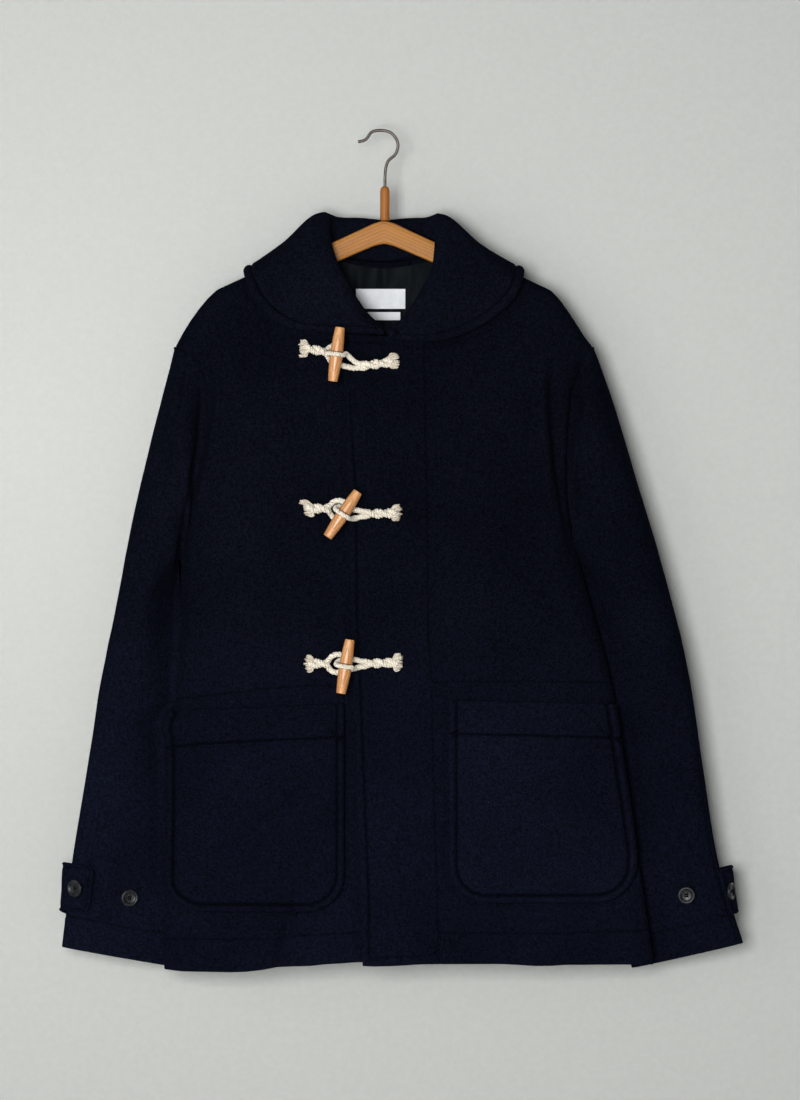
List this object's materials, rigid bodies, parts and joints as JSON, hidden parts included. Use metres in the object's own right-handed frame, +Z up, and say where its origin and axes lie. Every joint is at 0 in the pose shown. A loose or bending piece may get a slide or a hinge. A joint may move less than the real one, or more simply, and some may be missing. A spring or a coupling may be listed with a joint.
{
  "type": "duffle coat on a wooden hanger",
  "caption": "Hip-length wool duffle coat with a wide round collar, rope and toggle fastenings and patch pockets, hung on a wooden hanger.",
  "frame": {"origin": "inside top of the hanger's wire hook, where a nail or rail carries it", "axes": "+Z up, the coat's front faces -Y, +X is the wearer's left"},
  "size_m": [0.748, 0.1292, 0.9273],
  "materials": {
    "wool": "napped navy wool",
    "lining": "dark smooth cotton",
    "rope": "cream twisted cotton",
    "label": "white woven, bare",
    "toggle_wood": "pale turned wood, satin lacquer",
    "hanger_wood": "honey brown, satin lacquer",
    "button": "near-black, horn-like",
    "steel": "aged bright wire"
  },
  "bodies": {
    "root": {"back": "wool", "button_sleeve_left": "button", "button_sleeve_right": "button", "button_tab_left": "button", "button_tab_right": "button", "collar": "wool", "cuff_tab_left": "wool", "cuff_tab_right": "wool", "front_left": "wool", "front_right": "wool", "hanger_bar": "hanger_wood", "hanger_hook": "steel", "hanger_loop": "lining", "hanger_neck": "hanger_wood", "label_main": "label", "label_size": "label", "neck_lining": "lining", "pocket_left": "wool", "pocket_right": "wool", "rope_left_bottom": "rope", "rope_left_middle": "rope", "rope_left_top": "rope", "rope_right_bottom": "rope", "rope_right_middle": "rope", "rope_right_top": "rope", "rope_tuft_left_bottom": "rope", "rope_tuft_left_middle": "rope", "rope_tuft_left_top": "rope", "rope_tuft_right_bottom": "rope", "rope_tuft_right_middle": "rope", "rope_tuft_right_top": "rope", "sleeve_left": "wool", "sleeve_right": "wool", "toggle_bottom": "toggle_wood", "toggle_middle": "toggle_wood", "toggle_top": "toggle_wood"}
  },
  "joints": []
}
